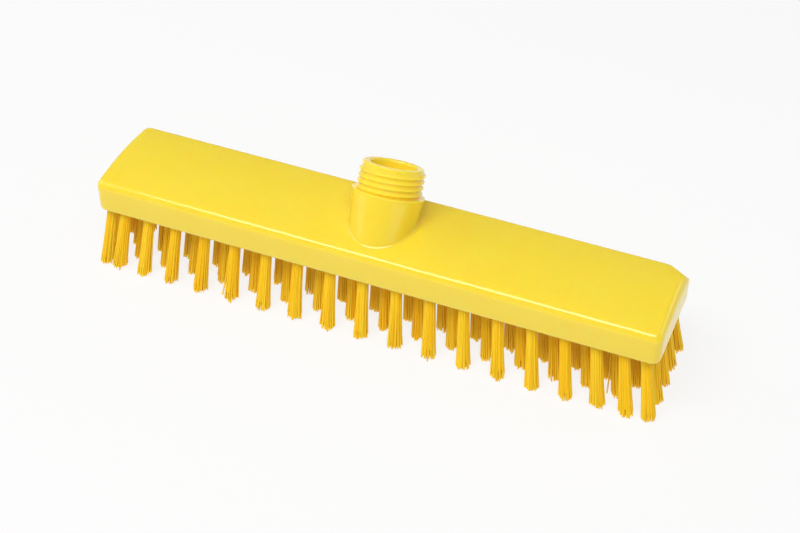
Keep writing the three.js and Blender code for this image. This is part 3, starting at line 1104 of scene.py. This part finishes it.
@dataclass
class BristleField:
    """The tufts of one section of the underside, each a bundle of cut filaments round a solid heart.

    The filaments lie close at the block and open towards their tips, where they part into strands.
    """

    underside: float
    filaments: int = 60
    root_radius: float = 2.65
    tip_radius: float = 3.65
    filament_radius: float = 0.4
    heart_radius: float = 2.6
    heart_trim: float = 4.0
    root_depth: float = 1.5
    raggedness: float = 1.2
    unevenness: float = 2.6
    clump: float = 2.2
    wander: float = 0.3
    stray_share: float = 0.005
    stray_reach: float = 3.0
    clump_range: tuple[float, float] = (0.4, 0.75)
    clump_detail: float = 1.0
    phase_mix: tuple[float, float] = (0.37, 0.71)
    points_along: int = 6
    sides: int = 6
    seed: int = 11

    def values(self) -> dict[str, float | int]:
        """What the tree's inputs are called and set to.

        Returns:
            The value of each input by its name, lengths in metres.
        """
        lengths = {
            "Root Radius": self.root_radius,
            "Widening": self.tip_radius - self.root_radius,
            "Filament Radius": self.filament_radius,
            "Heart Growth": self.heart_radius - self.filament_radius,
            "Heart Trim": self.heart_trim,
            "Length": self.underside + self.root_depth,
            "Raggedness": self.raggedness,
            "Unevenness": self.unevenness,
            "Wander": self.wander,
            "Stray Reach": self.stray_reach,
        }
        return {
            "Filaments": self.filaments,
            **{name: size * MM for name, size in lengths.items()},
            "Clump Scale": per_metre(self.clump),
            "Stray Share": self.stray_share,
            "Seed": self.seed,
        }

    def tree(self, material: bpy.types.Material) -> bpy.types.NodeTree:
        """Build the tree that grows a bundle of filaments on each point.

        Args:
            material: The filaments' plastic.

        Returns:
            The tree, with an input for each size.
        """
        tree = bpy.data.node_groups.new("bristle_tufts", "GeometryNodeTree")
        tree.interface.new_socket("Geometry", in_out="INPUT", socket_type="NodeSocketGeometry")
        for name, value in self.values().items():
            kind = "NodeSocketInt" if isinstance(value, int) else "NodeSocketFloat"
            tree.interface.new_socket(name, in_out="INPUT", socket_type=kind)
        tree.interface.new_socket("Geometry", in_out="OUTPUT", socket_type="NodeSocketGeometry")
        given = add_node(tree, "NodeGroupInput").outputs
        copies = add_node(
            tree,
            "GeometryNodeDuplicateElements",
            {"Geometry": given["Geometry"], "Amount": given["Filaments"]},
            domain="POINT",
        )
        points = copies.outputs["Geometry"]
        for name, (kind, value) in self.traits(tree, given, copies.outputs["Duplicate Index"]).items():
            stored = add_node(
                tree,
                "GeometryNodeStoreNamedAttribute",
                {"Geometry": points, "Name": name, "Value": value},
                data_type=kind,
                domain="POINT",
            )
            points = stored.outputs["Geometry"]
        grown = self.grow(tree, given, points)
        dressed = add_node(tree, "GeometryNodeSetMaterial", {"Geometry": grown, "Material": material})
        add_node(tree, "NodeGroupOutput", {"Geometry": dressed.outputs["Geometry"]})
        return tree

    def traits(
        self,
        tree: bpy.types.NodeTree,
        given: Any,
        number: bpy.types.NodeSocket,
    ) -> dict[str, tuple[str, bpy.types.NodeSocket]]:
        """Work out what each filament needs to grow. The first one of a tuft is its heart.

        Args:
            tree: The tree to add to.
            given: The tree's inputs.
            number: The filament's number in its tuft.

        Returns:
            The kind and value of each attribute, by its name.
        """
        sums, vectors, joined = "ShaderNodeMath", "ShaderNodeVectorMath", "ShaderNodeCombineXYZ"
        named, chance = "GeometryNodeInputNamedAttribute", "FunctionNodeRandomValue"
        # Where it stands in the bundle: on a spiral that fills the round evenly
        phase = add_node(tree, named, {"Name": "phase"}, data_type="FLOAT").outputs["Attribute"]
        turn = {0: number, 1: GOLDEN_ANGLE, 2: phase}
        turn = add_node(tree, sums, turn, operation="MULTIPLY_ADD").outputs[0]
        east = add_node(tree, sums, {0: turn}, operation="COSINE").outputs[0]
        north = add_node(tree, sums, {0: turn}, operation="SINE").outputs[0]
        share = add_node(tree, sums, {0: number, 1: given["Filaments"]}, operation="DIVIDE").outputs[0]
        away = add_node(tree, sums, {0: share}, operation="SQRT").outputs[0]
        out = add_node(tree, joined, {0: east, 1: north}).outputs[0]
        spread = add_node(tree, vectors, {0: out, "Scale": away}, operation="SCALE").outputs[0]
        # What is left to chance: whether it strays and how far, its length, its sway and its shade
        index = add_node(tree, "GeometryNodeInputIndex").outputs[0]
        first = {0: (0.0, 0.0, 0.0), 1: (1.0, 1.0, 1.0), "ID": index, "Seed": given["Seed"]}
        luck = add_node(tree, chance, first, data_type="FLOAT_VECTOR").outputs[0]
        luck = add_node(tree, "ShaderNodeSeparateXYZ", {0: luck}).outputs
        later = add_node(tree, sums, {0: given["Seed"], 1: 1.0}).outputs[0]
        second = {0: (-1.0, -1.0, 0.0), 1: (1.0, 1.0, 1.0), "ID": index, "Seed": later}
        more = add_node(tree, chance, second, data_type="FLOAT_VECTOR").outputs[0]
        parts = add_node(tree, "ShaderNodeSeparateXYZ", {0: more}).outputs
        sway = add_node(tree, joined, {0: parts[0], 1: parts[1]}).outputs[0]
        sway = add_node(tree, vectors, {0: sway, "Scale": given["Wander"]}, operation="SCALE").outputs[0]
        is_stray = {0: luck[0], 1: given["Stray Share"]}
        is_stray = add_node(tree, sums, is_stray, operation="LESS_THAN").outputs[0]
        reach = add_node(tree, sums, {0: luck[1], 1: given["Stray Reach"]}, operation="MULTIPLY").outputs[0]
        stray = {0: is_stray, 1: reach, 2: given["Widening"]}
        widening = add_node(tree, sums, stray, operation="MULTIPLY_ADD").outputs[0]
        # The heart is thick and short, and dark: painted shade for the depth between the filaments
        is_heart = add_node(tree, sums, {0: number, 1: 1.0}, operation="LESS_THAN").outputs[0]
        thick = {0: is_heart, 1: given["Heart Growth"], 2: given["Filament Radius"]}
        thickness = add_node(tree, sums, thick, operation="MULTIPLY_ADD").outputs[0]
        # Random tone for each filament, with the heart held at the darkest: painted shade for the depth
        # inside the tuft
        is_outer = add_node(tree, sums, {0: 1.0, 1: is_heart}, operation="SUBTRACT").outputs[0]
        shade = add_node(tree, sums, {0: parts[2], 1: is_outer}, operation="MULTIPLY").outputs[0]
        # What is cut off its tip: neighbours alike, and a little by chance
        root = add_node(tree, "GeometryNodeInputPosition").outputs[0]
        place = {0: spread, 1: given["Root Radius"], 2: root}
        place = add_node(tree, vectors, place, operation="MULTIPLY_ADD").outputs[0]
        look = {"Vector": place, "Scale": given["Clump Scale"], "Detail": self.clump_detail}
        clump = add_node(tree, "ShaderNodeTexNoise", look).outputs[0]
        dip = {"Value": clump, 1: self.clump_range[0], 2: self.clump_range[1]}
        dip = add_node(tree, "ShaderNodeMapRange", dip).outputs[0]
        square = add_node(tree, sums, {0: luck[2], 1: luck[2]}, operation="MULTIPLY").outputs[0]
        ragged = add_node(tree, sums, {0: square, 1: given["Raggedness"]}, operation="MULTIPLY").outputs[0]
        trim = {0: dip, 1: given["Unevenness"], 2: ragged}
        trim = add_node(tree, sums, trim, operation="MULTIPLY_ADD").outputs[0]
        trim = {0: is_heart, 1: given["Heart Trim"], 2: trim}
        trim = add_node(tree, sums, trim, operation="MULTIPLY_ADD").outputs[0]
        drop = add_node(tree, sums, {0: trim, 1: given["Length"]}, operation="SUBTRACT").outputs[0]
        lean = add_node(tree, named, {"Name": "lean"}, data_type="FLOAT_VECTOR").outputs["Attribute"]
        down = add_node(tree, joined, {2: drop}).outputs[0]
        travel = add_node(tree, vectors, {0: lean, 1: down}).outputs[0]
        return {
            "root": ("FLOAT_VECTOR", root),
            "spread": ("FLOAT_VECTOR", spread),
            "sway": ("FLOAT_VECTOR", sway),
            "widening": ("FLOAT", widening),
            "thickness": ("FLOAT", thickness),
            "filament_tone_and_painted_shade": ("FLOAT", shade),
            "travel": ("FLOAT_VECTOR", travel),
        }

    def grow(
        self,
        tree: bpy.types.NodeTree,
        given: Any,
        points: bpy.types.NodeSocket,
    ) -> bpy.types.NodeSocket:
        """Grow a filament down from each point.

        Args:
            tree: The tree to add to.
            given: The tree's inputs.
            points: The filaments' points, with their attributes.

        Returns:
            The filaments as one mesh.
        """
        line = add_node(tree, "GeometryNodeCurvePrimitiveLine", {"End": (0, 0, -1)}).outputs["Curve"]
        line = {"Curve": line, "Count": self.points_along}
        line = add_node(tree, "GeometryNodeResampleCurve", line).outputs["Curve"]
        copies = add_node(tree, "GeometryNodeInstanceOnPoints", {"Points": points, "Instance": line})
        curves = add_node(tree, "GeometryNodeRealizeInstances", {"Geometry": copies.outputs["Instances"]})
        kept = {}
        for name in ("root", "spread", "sway", "travel", "widening", "thickness"):
            kind = "FLOAT" if name in ("widening", "thickness") else "FLOAT_VECTOR"
            node = add_node(tree, "GeometryNodeInputNamedAttribute", {"Name": name}, data_type=kind)
            kept[name] = node.outputs["Attribute"]
        sums, vectors = "ShaderNodeMath", "ShaderNodeVectorMath"
        way = add_node(tree, "GeometryNodeSplineParameter").outputs["Factor"]
        late = add_node(tree, sums, {0: way, 1: way}, operation="MULTIPLY").outputs[0]
        reach = {0: late, 1: kept["widening"], 2: given["Root Radius"]}
        reach = add_node(tree, sums, reach, operation="MULTIPLY_ADD").outputs[0]
        place = kept["root"]
        for course, share in ((kept["travel"], way), (kept["sway"], late), (kept["spread"], reach)):
            step = {0: course, 1: share, 2: place}
            place = add_node(tree, vectors, step, operation="MULTIPLY_ADD").outputs[0]
        bent = {"Geometry": curves.outputs["Geometry"], "Position": place}
        bent = add_node(tree, "GeometryNodeSetPosition", bent).outputs["Geometry"]
        ring = {"Resolution": self.sides, "Radius": 1.0}
        ring = add_node(tree, "GeometryNodeCurvePrimitiveCircle", ring).outputs["Curve"]
        tubes = {
            "Curve": bent,
            "Profile Curve": ring,
            "Scale": kept["thickness"],
            "Fill Caps": True,
        }
        tubes = add_node(tree, "GeometryNodeCurveToMesh", tubes).outputs["Mesh"]
        smooth = add_node(tree, "GeometryNodeSetShadeSmooth", {"Geometry": tubes}).outputs["Geometry"]
        return add_node(tree, "GeometryNodeRealizeInstances", {"Geometry": smooth}).outputs["Geometry"]

    def build(
        self,
        name: str,
        node: str,
        tufts: list[Tuft],
        tree: bpy.types.NodeTree,
    ) -> bpy.types.Object:
        """Grow one section's tufts.

        Args:
            name: The piece's name.
            node: The node that it stands for.
            tufts: The section's tufts.
            tree: The tree that grows them.

        Returns:
            The finished piece.
        """
        height = self.underside + self.root_depth
        seeds = bpy.data.meshes.new(name + "_seeds")
        seeds.from_pydata([Vector((*t.root, height)) * MM for t in tufts], [], [])
        leans = [v * MM for t in tufts for v in (t.tip[0] - t.root[0], t.tip[1] - t.root[1], 0.0)]
        phases = [sum(way * part for way, part in zip(t.root, self.phase_mix)) for t in tufts]
        seeds.attributes.new("lean", "FLOAT_VECTOR", "POINT").data.foreach_set("vector", leans)
        seeds.attributes.new("phase", "FLOAT", "POINT").data.foreach_set("value", phases)
        piece = bpy.data.objects.new(name, seeds)
        bpy.context.scene.collection.objects.link(piece)
        modifier = piece.modifiers.new("tufts", "NODES")
        modifier.node_group = tree
        sockets = {s.name: s.identifier for s in tree.interface.items_tree if s.in_out == "INPUT"}
        for key, value in self.values().items():
            modifier[sockets[key]] = value
        modifier[sockets["Seed"]] = self.seed + tufts[0].section
        bpy.context.view_layer.update()
        grown = piece.evaluated_get(bpy.context.evaluated_depsgraph_get())
        mesh = bpy.data.meshes.new_from_object(grown)
        mesh.name = name
        piece.modifiers.clear()
        piece.data = mesh
        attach(piece, BODY)
        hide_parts(node)
        return piece


@dataclass(frozen=True)
class SoftBox:
    """One soft studio light, in metres and watts."""

    name: str
    place: tuple[float, float, float]
    size: tuple[float, float]
    watts: float
    aim: tuple[float, float, float] = (0.0, 0.0, 0.04)

    def build(self) -> None:
        """Hang the light."""
        light = bpy.data.lights.new(self.name, "AREA")
        light.shape = "RECTANGLE"
        light.size, light.size_y = self.size
        light.energy = self.watts
        lamp = bpy.data.objects.new(self.name, light)
        lamp.location = self.place
        lamp.rotation_euler = (Vector(self.aim) - Vector(self.place)).to_track_quat("-Z", "Y").to_euler()
        bpy.context.scene.collection.objects.link(lamp)


@dataclass
class Studio:
    """The floor, the light and the camera."""

    floor_half_mm: float = 3000.0
    sky: str = "ffffff"
    sky_strength: float = 0.27
    eye_mm: tuple[float, float, float] = (241.08, -554.54, 569.44)
    aim_mm: tuple[float, float, float] = (8.86, -0.64, 30.0)
    roll: float = math.radians(-0.133)
    lens: float = 72.0
    film_width: float = 36.0
    clip: tuple[float, float] = (0.01, 50.0)
    boxes: tuple[SoftBox, ...] = (
        SoftBox("front_softbox", (0.0, -0.6, 1.3), (1.5, 0.5), 17.0),
        SoftBox("left_softbox", (-1.2, -0.1, 0.8), (0.8, 0.8), 3.4),
        SoftBox("right_softbox", (1.0, 0.9, 0.55), (0.8, 0.5), 1.8),
    )

    def build(self, acrylic: bpy.types.Material) -> None:
        """Set the stage.

        Args:
            acrylic: The floor's material.
        """
        skin = Skin()
        corners = ((-1, -1, 0), (1, -1, 0), (1, 1, 0), (-1, 1, 0))
        skin.faces.append(tuple(skin.row(self.floor_half_mm * Vector(c) for c in corners)))
        skin.piece("studio_floor", acrylic)
        world = bpy.data.worlds.new("studio")
        world.use_nodes = True
        background = world.node_tree.nodes["Background"]
        background.inputs["Color"].default_value = linear(self.sky)
        background.inputs["Strength"].default_value = self.sky_strength
        scene = bpy.context.scene
        scene.world = world
        scene.view_settings.view_transform = "Standard"
        for box in self.boxes:
            box.build()
        scene.camera = self.camera()

    def camera(self) -> bpy.types.Object:
        """Set up the camera at the photograph's viewing angle.

        Returns:
            The camera.
        """
        data = bpy.data.cameras.new("camera")
        data.sensor_width = self.film_width
        data.lens = self.lens
        data.clip_start, data.clip_end = self.clip
        camera = bpy.data.objects.new("camera", data)
        eye, aim = Vector(self.eye_mm) * MM, Vector(self.aim_mm) * MM
        look = (aim - eye).to_track_quat("-Z", "Y").to_matrix().to_4x4()
        camera.matrix_world = Matrix.Translation(eye) @ look @ Matrix.Rotation(self.roll, 4, "Z")
        bpy.context.scene.collection.objects.link(camera)
        return camera


@dataclass(frozen=True)
class AnchorStrips:
    """The steel anchors that hold the tufts, hidden in the block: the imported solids, dressed."""

    prefix: str = "tuft_anchors"

    def dress(self, steel: bpy.types.Material) -> int:
        """Give the anchors their steel.

        Args:
            steel: The anchors' material.

        Returns:
            How many strips of anchors there are.
        """
        strips = [node for name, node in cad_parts.items() if name.startswith(self.prefix)]
        for strip in strips:
            for slot in strip.material_slots:
                slot.material = steel
        return len(strips)


def main() -> None:
    """Build the brush and its studio."""
    logging.basicConfig(level=logging.INFO, format="%(name)s: %(message)s")
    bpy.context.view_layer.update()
    low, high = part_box("brush_block")
    length, width = ((high - low) / MM).to_2d()
    underside = low.z / MM
    Studio().build(StudioAcrylic().material())
    moulding = BlockMoulding(length, width, underside).build(MouldedPolypropylene().material())
    LOG.info("%s: %d faces", moulding.name, len(moulding.data.polygons))
    field_of_bristles = BristleField(underside)
    tree = field_of_bristles.tree(PolyesterBristle().material())
    layout = TuftLayout(length, width)
    tufts = layout.tufts()
    for section in range(layout.sections):
        own = [t for t in tufts if t.section == section]
        node = f"bristle_section_{section + 1}"
        piece = field_of_bristles.build(f"bristle_tufts_{section + 1}", node, own, tree)
        LOG.info("%s: %d tufts, %d faces", piece.name, len(own), len(piece.data.polygons))
    LOG.info("anchors: %d strips dressed", AnchorStrips().dress(DrawnSteel().material()))


if __name__ == "__main__":
    main()
